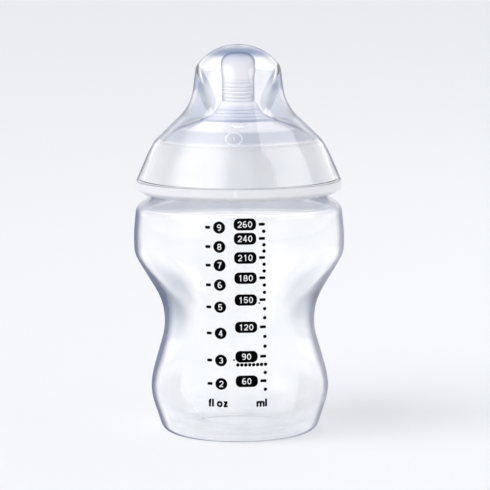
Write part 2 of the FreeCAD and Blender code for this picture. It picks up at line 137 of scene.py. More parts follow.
BAND_RADIUS = 38.0
RING_OUTLINE = [
    (32.05, 88.8, 0.4),
    (35.2, 88.8, 1.5),
    (BAND_RADIUS, 90.3, 1.2),
    (BAND_RADIUS, 93.4, 0.4),
    (35.3, 93.4, 0.2),
    (29.45, 106.5, 0.15),
    (29.0, 106.6, 0.0),
    (29.0, 108.2, 0.3),
    (28.4, 108.2, 0.3),
    (28.4, 106.4, 0.0),
    (27.9, 104.6, 0.4),
    (27.9, 102.0, 0.4),
    (30.2, 102.0, 0.4),
    (32.05, 98.2, 0.4),
]


# The teat's stem, and its ribs from the lowest one up.
STEM_RADIUS = 5.9
RIB_RADIUS = 6.14
RIB_COUNT = 6
LOWEST_RIB = 122.9
RIB_SPACING = 1.35

# The steps of its flare, from the highest one down and outward.
STEP_COUNT = 4
HIGHEST_STEP = 119.7
STEP_SPACING = 1.1

# Its dome goes down from the lowest step to an edge, and its skirt from there to the ring.
DOME_TOP = (13.7, 116.05)
DOME_EDGE = (22.4, 112.7)
SKIRT_EDGE = (27.3, 108.4)


def teat_outline():
    """The teat round from the outlet in its tip, down the outside and back up the inside."""
    outside = [
        (0.3, 140.7, 0.1),
        (6.35, 140.3, 4.2),
        (6.35, 133.4, 5.0),
        (STEM_RADIUS, 130.4, 1.0),
    ]
    for rib in reversed(range(RIB_COUNT)):
        middle = LOWEST_RIB + RIB_SPACING * rib
        outside += [
            (STEM_RADIUS, middle + 0.3, 0.08),
            (RIB_RADIUS, middle + 0.1, 0.08),
            (RIB_RADIUS, middle - 0.1, 0.08),
            (STEM_RADIUS, middle - 0.3, 0.08),
        ]
    outside.append((STEM_RADIUS, 122.2, 0.8))
    steps = []
    for step in range(STEP_COUNT):
        across = 8.0 + 1.9 * step
        up = HIGHEST_STEP - STEP_SPACING * step
        drop = 0.9 if step == STEP_COUNT - 1 else 0.45
        steps += [(across, up, 0.15), (across + 0.1, up - drop, 0.1)]
    rest = [
        (*DOME_EDGE, 4.0),
        (*SKIRT_EDGE, 2.5),
        (28.0, 106.2, 0.4),
        (27.6, 104.3, 0.4),
        (27.6, 101.7, 0.4),
        (29.8, 101.7, 0.4),
        (29.8, 100.3, 0.4),
        (26.2, 100.3, 0.4),
        (26.2, 107.7, 2.5),
        (21.6, 111.3, 4.0),
        (13.6, 113.9, 4.0),
        (4.7, 121.4, 5.0),
        (4.7, 130.0, 9.0),
        (5.1, 134.6, 9.0),
        (5.1, 139.2, 3.3),
        (0.3, 139.2, 0.1),
    ]
    return outside + steps + rest


def rounded(corners, closed=False, arc_step=math.radians(7), longest=1.2):
    """The outline as points close enough together to shade smoothly."""
    corners = [(Vector((across, up)), rounding) for across, up, rounding in corners]
    count = len(corners)
    points = []
    for i, (corner, rounding) in enumerate(corners):
        if rounding == 0.0 or (not closed and i in (0, count - 1)):
            points.append(corner)
            continue
        before = (corners[i - 1][0] - corner).normalized()
        after = (corners[(i + 1) % count][0] - corner).normalized()
        half_angle = before.angle(after) / 2
        cut_back = rounding / math.tan(half_angle)
        centre = corner + (before + after).normalized() * (rounding / math.sin(half_angle))
        start = corner + before * cut_back - centre
        turn = math.pi - 2 * half_angle
        side = 1 if before.x * after.y - before.y * after.x < 0 else -1
        steps = max(2, math.ceil(turn / arc_step), math.ceil(turn * rounding / longest))
        for step in range(steps + 1):
            angle = side * turn * step / steps
            spin = Vector((
                start.x * math.cos(angle) - start.y * math.sin(angle),
                start.x * math.sin(angle) + start.y * math.cos(angle),
            ))
            points.append(centre + spin)
    path = []
    ends = points + points[:1] if closed else points
    for a, b in zip(ends, ends[1:]):
        pieces = max(1, math.ceil((b - a).length / longest))
        path += [a.lerp(b, k / pieces) for k in range(pieces)]
    if not closed:
        path.append(points[-1])
    return np.array([(p.x, p.y) for p in path])


# ---------------------------------------------------------------------------------------------
# Skins
# ---------------------------------------------------------------------------------------------

# Every skin has this many columns of points round the axis, at these turns.
COLUMNS = 512
TURN = np.linspace(0.0, 2 * math.pi, COLUMNS, endpoint=False)

# The numbers of a piece's second and third materials.
LINING = 1
FROSTED_EDGE = 2


def soft_least(a, b, softness):
    """The smaller of a and b, with their crossing rounded off."""
    near = np.maximum(softness - np.abs(a - b), 0.0) / softness
    return np.minimum(a, b) - near * near * softness / 4


def pinched(radius, up, turn, scoop, offset, inset, softness):
    """How far the skin stands out at each turn, once both sides are scooped."""
    reach = offset - inset + np.interp(up, scoop[::-1, 1], scoop[::-1, 0])
    side = np.sqrt(reach**2 - (offset * np.sin(turn)) ** 2)
    result = radius
    for way in (1, -1):
        result = soft_least(result, side - way * offset * np.cos(turn), softness)
    return result


def thread_rise(up, start_up, start_turn, turns):
    """How far a one-start thread stands out of its wall at one height, from 0 to 1."""
    half_root = THREAD_ROOT / 2
    half_crest = THREAD_CREST / 2
    rise = np.zeros(COLUMNS)
    for lap in range(math.ceil(turns) + 1):
        along = (TURN + 2 * math.pi * lap - start_turn) / (2 * math.pi)
        middle = start_up + THREAD_LEAD * along
        flank = (half_root - np.abs(up - middle)) / (half_root - half_crest)
        taper = np.minimum(along, turns - along) / 0.03
        rise = np.maximum(rise, np.clip(np.minimum(flank, taper), 0.0, 1.0))
    return rise


def new_piece(name, vertices, faces):
    """A new object in the scene with a mesh of its own."""
    mesh = bpy.data.meshes.new(name)
    mesh.from_pydata(vertices, [], faces)
    piece = bpy.data.objects.new(name, mesh)
    bpy.context.scene.collection.objects.link(piece)
    return piece


def smooth_piece(name, vertices, faces):
    """A new piece with every face turned outward and shaded smoothly."""
    piece = new_piece(name, vertices, faces)
    shell = bmesh.new()
    shell.from_mesh(piece.data)
    bmesh.ops.recalc_face_normals(shell, faces=shell.faces)
    shell.to_mesh(piece.data)
    shell.free()
    for polygon in piece.data.polygons:
        polygon.use_smooth = True
    return piece


def skin(name, rows, inner_rows=(0, 0), closed=False):
    """A mesh through rows of points round the axis; a row of one point is a pole.

    The inner rows take the piece's second material.  A point's fourth number, how deep the skin is
    scooped there, is kept for the materials' painted shade.
    """
    vertices = []
    starts = []
    for row in rows:
        starts.append((len(vertices), len(row)))
        vertices += [tuple(point) for point in row[:, :3] * MM]
    faces = []
    pairs = list(zip(starts, starts[1:]))
    if closed:
        pairs.append((starts[-1], starts[0]))
    for (first, first_count), (second, second_count) in pairs:
        for k in range(COLUMNS):
            following = (k + 1) % COLUMNS
            if first_count == 1:
                faces.append((first, second + k, second + following))
            elif second_count == 1:
                faces.append((first + k, second, first + following))
            else:
                faces.append((first + k, second + k, second + following, first + following))
    piece = smooth_piece(name, vertices, faces)
    depths = piece.data.attributes.new("scooped", "FLOAT", "POINT")
    depths.data.foreach_set("value", np.concatenate([row[:, 3] for row in rows]))
    for polygon in piece.data.polygons:
        if inner_rows[0] <= polygon.index // COLUMNS < inner_rows[1]:
            polygon.material_index = LINING
    return piece


def row_of(radii, up, depths=0.0):
    """A row of points round the axis at one height, with how deep the skin is scooped at each."""
    depths = np.full(COLUMNS, depths)
    return np.column_stack([radii * np.cos(TURN), radii * np.sin(TURN), np.full(COLUMNS, up), depths])


def scooped_row(radius, up, scoop, offset, inset, softness):
    """A row round a turned form that is scooped at both sides."""
    radii = pinched(radius, up, TURN, scoop, offset, inset, softness)
    return row_of(radii, up, radius - radii)


def pole(up):
    """A row of one point on the axis."""
    return np.array([[0.0, 0.0, up, 0.0]])


GRIP = rounded(GRIP_OUTLINE, longest=0.5)
DENT = rounded(DENT_OUTLINE, longest=0.5)


def make_bottle():
    neck_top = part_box("bottle")[1].z / MM
    rim_foot = neck_top - 0.5
    outside = rounded(bottle_outside(), longest=0.8)
    inside = rounded(bottle_inside(rim_foot), longest=0.8)

    def grip_row(radius, up, inset):
        return scooped_row(radius, up, GRIP, GRIP_OFFSET, inset, GRIP_SOFTNESS)

    rows = [pole(outside[0][1])]
    rows += [grip_row(r, z, 0.0) for r, z in outside[1:]]
    for up in np.arange(90.0, rim_foot, THREAD_STEP):
        rise = thread_rise(up, NECK_THREAD_FOOT, 0.0, NECK_THREAD_TURNS)
        rows.append(row_of(NECK_RADIUS + THREAD_REACH * rise, up))
    mouth = NECK_RADIUS - BOTTLE_WALL
    rim = rounded([(NECK_RADIUS, neck_top - 1, 0), (NECK_RADIUS, neck_top, 0.6),
                   (mouth, neck_top, 0.6), (mouth, neck_top - 1, 0)])
    rows += [row_of(np.full(COLUMNS, r), z) for r, z in rim[1:-1]]
    first_inner = len(rows)
    rows += [grip_row(r, z, BOTTLE_WALL) for r, z in inside[:0:-1]]
    rows.append(pole(inside[0][1]))
    return skin("bottle_body", rows, (first_inner, len(rows)))


def make_hood():
    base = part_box("hood")[0].z / MM
    outside = rounded(hood_outline(0.0) + [(37.8, base, 0.15), (36.9, base, 0.0)], longest=0.5)
    inside = rounded(hood_outline(HOOD_WALL) + [(35.65, base, 0.0)], longest=0.5)

    def row(radius, up, inset):
        return scooped_row(radius, up, DENT, DENT_OFFSET, inset, DENT_SOFTNESS)

    rows = [pole(outside[0][1])]
    rows += [row(r, z, 0.0) for r, z in outside[1:]]
    first_inner = len(rows)
    rows += [row(r, z, HOOD_WALL) for r, z in inside[:0:-1]]
    rows.append(pole(inside[0][1]))
    piece = skin("hood_shell", rows, (first_inner, len(rows)))
    for polygon in piece.data.polygons:
        highest = max(piece.data.vertices[index].co.z for index in polygon.vertices)
        if highest < (base + 0.02) * MM:
            polygon.material_index = FROSTED_EDGE
    return piece


def make_ring():
    outline = rounded(RING_OUTLINE, closed=True, longest=0.8)
    bore = RING_OUTLINE[0][0]
    in_bore = np.abs(outline[:, 0] - bore) < 1e-6
    rows = [row_of(np.full(COLUMNS, r), z) for r, z in outline[~in_bore]]
    bore_top = 97.6
    bore_foot = 89.2
    start_turn = math.radians(RING_THREAD_START)
    for up in np.arange(bore_top, bore_foot, -THREAD_STEP):
        rise = thread_rise(up, RING_THREAD_FOOT, start_turn, RING_THREAD_TURNS)
        rows.append(row_of(bore - THREAD_REACH * rise, up))
    return skin("ring_body", rows, closed=True)


def make_teat():
    outline = rounded(teat_outline(), closed=True, longest=0.5, arc_step=math.radians(10))
    rows = [row_of(np.full(COLUMNS, r), z) for r, z in outline]
    first_inner = int(np.argmin(outline[:, 1]))
    return skin("teat_soft", rows, (first_inner, len(rows)), closed=True)


# ---------------------------------------------------------------------------------------------
# Printed scales
# ---------------------------------------------------------------------------------------------

# The letters' heights and the width of their strokes, and where the labels stand.
NUMBER_HEIGHT = 2.35
NUMBER_WEIGHT = 0.33
LABEL_HEIGHT = 2.9
LABEL_WEIGHT = 0.73
LABEL_FOOT = 14.2
LETTER_GAP = 0.29

TICK_HEIGHT = 1.05
TICK_ROUNDING = 0.3

# The print leans to the left as it goes up, by this much for each millimetre above the height
# where it is in its place.
PRINT_LEAN = 0.007
UNLEANED_HEIGHT = 80

# Where the pads, discs, ticks and dots stand, to the right of the middle.
PAD_PLACE = 2.2
ML_TICK_PLACE = 8.2
ML_DOT_PLACE = 8.9
DISC_PLACE = -7.0
FL_OZ_TICK_PLACE = -11.1

# One line of the millilitre scale is a row of dots.
DOTTED_LINE_START = -0.93
DOTTED_LINE_SPACING = 1.42
DOTTED_LINE_COUNT = 8

# How high above the skin the ink starts and ends.
INK_LAYER = (0.02, 0.07)


def height_of(volume):
    """The height of a mark for some millilitres."""
    volumes, heights = zip(*sorted(ML_HEIGHTS.items()))
    return float(np.interp(volume, volumes, heights))


def arc(x, y, across, up, start, end):
    """Points on an ellipse about (x, y), from one angle to another, in degrees."""
    steps = max(4, round(abs(end - start) / 12))
    angles = [math.radians(start + (end - start) * k / steps) for k in range(steps + 1)]
    return [(x + across * math.cos(angle), y + up * math.sin(angle)) for angle in angles]


def turned_over(strokes):
    """A digit's strokes after half a turn."""
    return [[(0.5 - x, 1.0 - y) for x, y in stroke] for stroke in strokes]


# Each letter is its width and the middle lines of its strokes, in parts of the height of a digit.
SIX = [arc(0.25, 0.31, 0.25, 0.225, 0, 360), [(0.0, 0.31)] + arc(0.28, 0.5, 0.28, 0.43, 180, 62)]
LETTERS = {
    "0": (0.50, [arc(0.25, 0.5, 0.25, 0.415, 0, 360)]),
    "1": (0.50, [[(0.32, 0.0), (0.32, 1.0)], [(0.09, 0.76), (0.34, 0.90)]]),
    "2": (0.50, [arc(0.25, 0.665, 0.25, 0.25, 170, -35) + [(0.03, 0.12)],
                 [(-0.06, 0.085), (0.54, 0.085)]]),
    "3": (0.50, [arc(0.25, 0.70, 0.21, 0.215, 160, -90), arc(0.25, 0.30, 0.25, 0.215, 90, -160)]),
    "4": (0.50, [[(0.36, 0.0), (0.36, 1.0)], [(-0.05, 0.29), (0.58, 0.29)],
                 [(0.0, 0.25), (0.34, 0.96)]]),
    "5": (0.50, [[(0.02, 0.915), (0.50, 0.915)], [(0.08, 0.98), (0.02, 0.42)],
                 arc(0.25, 0.34, 0.25, 0.255, 140, -155)]),
    "6": (0.50, SIX),
    "7": (0.50, [[(-0.06, 0.915), (0.55, 0.915)], [(0.48, 0.90), (0.28, 0.50), (0.17, 0.0)]]),
    "8": (0.50, [arc(0.25, 0.705, 0.21, 0.21, 0, 360), arc(0.25, 0.295, 0.25, 0.21, 0, 360)]),
    "9": (0.50, turned_over(SIX)),
    "f": (0.21, [[(0.12, 0.0), (0.12, 0.75)] + arc(0.29, 0.75, 0.17, 0.17, 170, 85),
                 [(-0.04, 0.65), (0.28, 0.65)]]),
    "l": (0.00, [[(0.0, 0.0), (0.0, 1.0)]]),
    "o": (0.48, [arc(0.24, 0.36, 0.24, 0.275, 0, 360)]),
    "z": (0.42, [[(-0.03, 0.62), (0.45, 0.62)], [(0.38, 0.60), (0.04, 0.12)],
                 [(-0.05, 0.10), (0.47, 0.10)]]),
    "m": (0.78, [[(0.0, 0.0), (0.0, 0.72)], arc(0.195, 0.45, 0.195, 0.185, 180, 0) + [(0.39, 0.0)],
                 arc(0.585, 0.45, 0.195, 0.185, 180, 0) + [(0.78, 0.0)]]),
    " ": (0.02, []),
}


def thick_line(points, width):
    """The loops round a line of some width; a line that ends where it starts has two."""
    points = np.array(points)
    closed = np.allclose(points[0], points[-1])
    if closed:
        points = points[:-1]
        ahead = np.roll(points, -1, axis=0) - points
        behind = points - np.roll(points, 1, axis=0)
    else:
        ahead = np.diff(points, axis=0, append=points[-1:])
        ahead[-1] = ahead[-2]
        behind = np.vstack([ahead[:1], ahead[:-1]])
    ahead /= np.linalg.norm(ahead, axis=1)[:, None]
    behind /= np.linalg.norm(behind, axis=1)[:, None]
    along = ahead + behind
    along /= np.linalg.norm(along, axis=1)[:, None]
    stretch = 1 / np.maximum(np.sum(along * ahead, axis=1), 0.7)
    aside = np.column_stack([-along[:, 1], along[:, 0]]) * (stretch * width / 2)[:, None]
    if closed:
        return [points + aside, points - aside]
    return [np.vstack([points + aside, (points - aside)[::-1]])]


def lettering(text, height, weight):
    """The strokes of some lettering, centred across (0, 0)."""
    strokes = []
    place = 0.0
    for letter in text:
        width, lines = LETTERS[letter]
        for line in lines:
            placed = [((x + place) * height, y * height) for x, y in line]
            strokes.append(thick_line(placed, weight))
        place += width + LETTER_GAP
    middle = np.array([(place - LETTER_GAP) * height / 2, 0.0])
    return [[loop - middle for loop in stroke] for stroke in strokes]


def moved(shapes, across, up):
    """Shapes, each a list of loops, moved across and up."""
    return [[loop + np.array([across, up]) for loop in loops] for loops in shapes]


def rounded_bar(width, height, rounding):
    """A rectangle with round corners, about (0, 0)."""
    points = []
    for side, top, start in ((1, 1, 0), (-1, 1, 90), (-1, -1, 180), (1, -1, 270)):
        for part in range(0, 91, 10):
            angle = math.radians(start + part)
            points.append((
                side * (width / 2 - rounding) + rounding * math.cos(angle),
                top * (height / 2 - rounding) + rounding * math.sin(angle),
            ))
    return [np.array(points)]


def round_dot(radius):
    points = arc(0.0, 0.0, radius, radius, 0, 360)
    return [np.array(points[:-1])]


def lies_within(points, loops):
    """Which points lie inside an odd number of the loops."""
    x, y = points[:, 0, None], points[:, 1, None]
    odd = np.zeros(len(points), dtype=bool)
    for loop in loops:
        ax, ay = loop[:, 0], loop[:, 1]
        bx, by = np.roll(ax, -1), np.roll(ay, -1)
        crosses = (ay > y) != (by > y)
        drop = np.where(by == ay, 1.0, by - ay)
        right = x < ax + (y - ay) / drop * (bx - ax)
        odd ^= np.sum(crosses & right, axis=1) % 2 == 1
    return odd


def flat_faces(shapes, holes=()):
    """Triangles over the shapes but not over the holes, none wider than half a millimetre."""
    corners = []
    edges = []
    for loops in [*shapes, *holes]:
        for loop in loops:
            first = len(corners)
            corners += [Vector(point) for point in loop]
            edges += [(first + k, first + (k + 1) % len(loop)) for k in range(len(loop))]
    low = np.min([corner[:] for corner in corners], axis=0) - 0.1
    high = np.max([corner[:] for corner in corners], axis=0) + 0.1
    for x in np.arange(low[0], high[0], 0.5):
        edges.append((len(corners), len(corners) + 1))
        corners += [Vector((x, low[1])), Vector((x, high[1]))]
    for y in np.arange(low[1], high[1], 1.0):
        edges.append((len(corners), len(corners) + 1))
        corners += [Vector((low[0], y)), Vector((high[0], y))]
    points, _, faces, *_ = delaunay_2d_cdt(corners, edges, [], 0, 1e-5)
    points = np.array([point[:] for point in points])
    faces = np.array(faces)
    middles = points[faces].mean(axis=1)
    covered = np.any([lies_within(middles, loops) for loops in shapes], axis=0)
    for loops in holes:
        covered &= ~lies_within(middles, loops)
    return points, faces[covered]


def thickened(name, flats, place, low, high):
    """A mesh of flat faces bent onto a surface, between two heights above it."""
    vertices = []
    faces = []
    for points, triangles in flats:
        used, triangles = np.unique(triangles, return_inverse=True)
        triangles = triangles.reshape(-1, 3)
        points = points[used]
        top = len(vertices)
        base = top + len(points)
        for lift in (high, low):
            vertices += [tuple(point) for point in place(points[:, 0], points[:, 1], lift) * MM]
        edges = {(a, b) for t in triangles for a, b in zip(t, np.roll(t, -1))}
        faces += [tuple(top + t) for t in triangles]
        faces += [tuple(base + t[::-1]) for t in triangles]
        faces += [(top + b, top + a, base + a, base + b) for a, b in edges if (b, a) not in edges]
    return new_piece(name, vertices, faces)


def front_of_bottle(x, up, lift):
    """The points of the bottle's front, x to the right of its middle and lift above the skin."""
    side = rounded([(28.3, 0.0, 0.0)] + bottle_side(0.0))
    radius = np.interp(up, side[:, 1], side[:, 0])
    turn = np.full_like(x, -math.pi / 2)
    for _ in range(6):
        distance = pinched(radius, up, turn, GRIP, GRIP_OFFSET, 0.0, GRIP_SOFTNESS) + lift
        turn = -np.arccos(x / distance)
    return np.column_stack([x, distance * np.sin(turn), up])


def add_mark(marks, across, up, shape, text=""):
    """One printed shape, with any number knocked out of it."""
    across += PRINT_LEAN * (UNLEANED_HEIGHT - up)
    number = lettering(text, NUMBER_HEIGHT, NUMBER_WEIGHT)
    marks.append(flat_faces(
        moved([shape], across, up),
        moved(number, across, up - NUMBER_HEIGHT / 2),
    ))


def add_label(marks, across, text):
    label = lettering(text, LABEL_HEIGHT, LABEL_WEIGHT)
    marks.append(flat_faces(moved(label, across, LABEL_FOOT)))


def make_ml_marks():
    marks = []
    pad = rounded_bar(8.0, 4.2, 1.7)
    tick = rounded_bar(2.2, TICK_HEIGHT, TICK_ROUNDING)
    dot = round_dot(0.64)
    speck = round_dot(0.35)
    for volume in range(50, 270, 10):
        up = height_of(volume)
        if volume in ML_NUMBERED:
            add_mark(marks, PAD_PLACE, up, pad, str(volume))
            add_mark(marks, ML_TICK_PLACE, up, tick)
        elif volume == ML_DOTTED_LINE:
            for k in range(DOTTED_LINE_COUNT):
                add_mark(marks, DOTTED_LINE_START + DOTTED_LINE_SPACING * k, up, dot)
        else:
            add_mark(marks, ML_DOT_PLACE, up, dot)
    add_mark(marks, 7.0, height_of(150) - 1.25, speck)
    add_mark(marks, -2.3, height_of(90) - 1.2, speck)
    add_label(marks, 7.95, "ml")
    return thickened("ml_marks", marks, front_of_bottle, *INK_LAYER)


def make_fl_oz_marks():
    marks = []
    disc = round_dot(2.15)
    tick = rounded_bar(1.8, TICK_HEIGHT, TICK_ROUNDING)
    for ounces in range(2, 10):
        up = height_of(ounces * ML_PER_FL_OZ)
        add_mark(marks, DISC_PLACE, up, disc, str(ounces))
        add_mark(marks, FL_OZ_TICK_PLACE, up, tick)
    add_label(marks, -7.8, "fl oz")
    return thickened("fl_oz_marks", marks, front_of_bottle, *INK_LAYER)


# ---------------------------------------------------------------------------------------------
# Small welts and the nub
# ---------------------------------------------------------------------------------------------

WELT_SIDES = 12

# How far right of the middle the teat's vent lies.
VENT_PLACE = -1.6


def welt(name, path, width, rise, place):
    """A low rounded welt along a path; one that doesn't meet its own start tapers at its ends."""
    path = np.array(path)
    closed = np.allclose(path[0], path[-1])
    around = np.linspace(0, 2 * math.pi, WELT_SIDES, endpoint=False)
    if closed:
        path = path[:-1]
        along = np.roll(path, -1, axis=0) - np.roll(path, 1, axis=0)
        size = np.ones(len(path))
    else:
        along = np.gradient(path, axis=0)
        size = np.sin(np.linspace(0, math.pi, len(path))) ** 0.6
        size[0] = size[-1] = 0.02
    along /= np.linalg.norm(along, axis=1)[:, None]
    aside = np.column_stack([-along[:, 1], along[:, 0]])
    vertices = []
    for point, side, scale in zip(path, aside, size):
        flat = point + np.outer(np.cos(around) * width / 2 * scale, side)
        lift = np.sin(around) * rise * scale
        vertices += [tuple(v) for v in place(flat[:, 0], flat[:, 1], lift) * MM]
    faces = []
    rows = len(path)
    for row in range(rows if closed else rows - 1):
        here = row * WELT_SIDES
        there = (row + 1) % rows * WELT_SIDES
        for k in range(WELT_SIDES):
            following = (k + 1) % WELT_SIDES
            faces.append((here + k, there + k, there + following, here + following))
    if not closed:
        faces.append(tuple(range(WELT_SIDES)))
        faces.append(tuple(reversed(range((rows - 1) * WELT_SIDES, rows * WELT_SIDES))))
    return smooth_piece(name, vertices, faces)


def on_slope(low_end, high_end):
    """Places points on the front of a cone: across it, up its slope from the middle, and above it."""
    low_end, high_end = Vector(low_end), Vector(high_end)
    middle = (low_end + high_end) / 2
    uphill = (high_end - low_end).normalized()
    outward = Vector((uphill.y, -uphill.x))

    def place(across, up_slope, lift):
        radius = middle.x + uphill.x * up_slope + outward.x * lift
        height = middle.y + uphill.y * up_slope + outward.y * lift
        turn = across / (middle.x + uphill.x * up_slope) - math.pi / 2
        return np.column_stack([radius * np.cos(turn), radius * np.sin(turn), height])

    return place


def front_of_band(across, up, lift):
    """Places points on the front of the ring's rim band."""
    turn = across / BAND_RADIUS - math.pi / 2
    radius = BAND_RADIUS + lift
    return np.column_stack([radius * np.cos(turn), radius * np.sin(turn), up])


def make_teat_details():
    """The vent on the front of the skirt, a slit in a ring, and the crescent above it."""
    on_skirt = on_slope(SKIRT_EDGE, DOME_EDGE)
    on_dome = on_slope(DOME_EDGE, DOME_TOP)
    vent_rim = arc(VENT_PLACE, -0.2, 2.95, 2.95, 0, 360)
    vent_slit = [(VENT_PLACE, -1.5 + 0.2 * k) for k in range(14)]
    crescent = arc(0.4, 2.0, 3.1, 3.1, 195, 345)
    return [
        welt("teat_vent_rim", vent_rim, width=0.6, rise=0.2, place=on_skirt),
        welt("teat_vent_slit", vent_slit, width=0.45, rise=0.12, place=on_skirt),
        welt("teat_crescent", crescent, width=1.1, rise=0.45, place=on_dome),
    ]


def make_nub():
    """The nub on the front of the ring's band, a little left of the middle."""
    bar = moved([rounded_bar(1.1, 2.1, 0.4)], -1.1, 91.9)
    return thickened("ring_nub", [flat_faces(bar)], front_of_band, low=-0.4, high=0.35)


# ---------------------------------------------------------------------------------------------
# Materials
# ---------------------------------------------------------------------------------------------


def set_inputs(tree, node, inputs):
    """Gives a node its inputs, which are plain values or the outputs of other nodes."""
    for key, value in inputs.items():
        if isinstance(value, bpy.types.NodeSocket):
            tree.links.new(value, node.inputs[key])
        else:
            node.inputs[key].default_value = value


def add_node(tree, kind, inputs=None, **settings):
    """A new node with its settings and its inputs."""
    node = tree.nodes.new(kind)
    for name, value in settings.items():
        setattr(node, name, value)
    set_inputs(tree, node, inputs or {})
    return node


def calculate(tree, operation, first, second):
    return add_node(tree, "ShaderNodeMath", {0: first, 1: second}, operation=operation).outputs[0]


def fade(tree, value, start, end, low=0.0, high=1.0):
    """Goes smoothly from low to high while the value goes from start to end."""
    return add_node(tree, "ShaderNodeMapRange", {
        "Value": value, "From Min": start, "From Max": end, "To Min": low, "To Max": high,
    }, interpolation_type="SMOOTHSTEP").outputs["Result"]


def place_on(tree):
    """Where a point of the piece lies, in metres."""
    return add_node(tree, "ShaderNodeTexCoord").outputs["Object"]


def split(tree, vector):
    """The three parts of a vector."""
    return tuple(add_node(tree, "ShaderNodeSeparateXYZ", {"Vector": vector}).outputs)


def cloudy(tree, grain):
    """A value that wanders between 0 and 1 over the piece."""
    noise = add_node(tree, "ShaderNodeTexNoise", {"Vector": place_on(tree), "Scale": grain})
    return fade(tree, noise.outputs["Fac"], 0.3, 0.7)


def tinted(tree, color, tint, amount):
    """The colour multiplied by the tint as far as the amount says."""
    mix = add_node(tree, "ShaderNodeMix", {"Factor": amount, 6: color, 7: (*tint, 1)},
                   data_type="RGBA", blend_type="MULTIPLY")
    return mix.outputs[2]


def level_band(low, high, blur=0.25):
    """The amount of a painted shade that lies between two heights."""
    def amount(tree):
        _, _, up = split(tree, place_on(tree))
        above = fade(tree, up, (low - blur) * MM, (low + blur) * MM)
        below = fade(tree, up, (high - blur) * MM, (high + blur) * MM, 1.0, 0.0)
        return calculate(tree, "MULTIPLY", above, below)
    return amount


def shoulder_band(tree):
    """The amount of the painted shade on the shoulder, whose lower edge sags towards the sides."""
    x, _, up = split(tree, place_on(tree))
    sag = calculate(tree, "MULTIPLY", calculate(tree, "MULTIPLY", x, x), 2.4)
    return fade(tree, calculate(tree, "ADD", up, sag), 85.5 * MM, 86.0 * MM)


def turned_away(tree, start, full):
    """How far the surface is turned away from the viewer."""
    facing = add_node(tree, "ShaderNodeLayerWeight", {"Blend": 0.5}).outputs["Facing"]
    return fade(tree, facing, start, full)


def thin_rim(start, strength):
    """The amount of painted grey shade round the outline of a clear piece."""
    def amount(tree):
        return calculate(tree, "MULTIPLY", turned_away(tree, start, start + 0.13), strength)
    return amount


def bottle_rim(tree):
    """The amount of painted grey shade round the bottle's outline: painted fainter on the right, the
    side the light comes from, and on the shoulder.
    """
    x, _, up = split(tree, place_on(tree))
    side = fade(tree, x, -20 * MM, 20 * MM, 0.85, 0.6)
    strength = calculate(tree, "MULTIPLY", side, fade(tree, up, 82 * MM, 85 * MM, 1.0, 0.3))
    return calculate(tree, "MULTIPLY", turned_away(tree, 0.60, 0.80), strength)


def scooped(tree, start, full):
    """The amount of a painted shade that lies where the skin is scooped deep enough and seen aslant.
    """
    depth = add_node(tree, "ShaderNodeAttribute", attribute_name="scooped").outputs["Fac"]
    deep = fade(tree, depth, start, full)
    return calculate(tree, "MULTIPLY", deep, turned_away(tree, 0.08, 0.48))


def waist_shade(tree):
    """The amount of the soft shade in the scooped sides of the waist, fainter on the right."""
    x, _, _ = split(tree, place_on(tree))
    side = fade(tree, x, -10 * MM, 10 * MM, 1.0, 0.65)
    scoop = calculate(tree, "MULTIPLY", scooped(tree, 0.4, 3.2), side)
    return calculate(tree, "MULTIPLY", scoop, level_band(43, 59, 9)(tree))


def stripes(first, spacing, low, high):
    """The amount of a painted shade midway between evenly spaced heights, within a level band."""
    def amount(tree):
        _, _, up = split(tree, place_on(tree))
        along = calculate(tree, "DIVIDE", calculate(tree, "SUBTRACT", up, first * MM), spacing * MM)
        off_line = calculate(tree, "PINGPONG", along, 0.5)
        band = level_band(low, high)(tree)
        return calculate(tree, "MULTIPLY", fade(tree, off_line, 0.2, 0.5), band)
    return amount


def stem_outline(tree):
    """The amount of the painted grey shade along the sides of the teat's stem."""
    return calculate(tree, "MULTIPLY", turned_away(tree, 0.42, 0.6), level_band(122.5, 145)(tree))


def dent_shade(tree):
    """The amount of the faint shade over the hood's dents."""
    return scooped(tree, 0.1, 1.2)


def dent_corner(tree):
    """The amount of the darker shade where each dent runs out under the dome."""
    scoop = scooped(tree, 0.05, 0.5)
    return calculate(tree, "MULTIPLY", scoop, level_band(127, 136, 3)(tree))


def foot_clearness(tree):
    """How far the foot lets light straight through, as thin plastic does."""
    _, _, up = split(tree, place_on(tree))
    return fade(tree, up, 6 * MM, 22 * MM, 0.8, 0.0)


PLASTIC_IOR = 1.49
SILICONE_IOR = 1.41
# The grey painted as shade round the outlines of the clear pieces.
RIM_SHADE_GREY = (0.10, 0.12, 0.20, 1)
SHADOW_TINT = (0.94, 0.945, 0.955, 1)


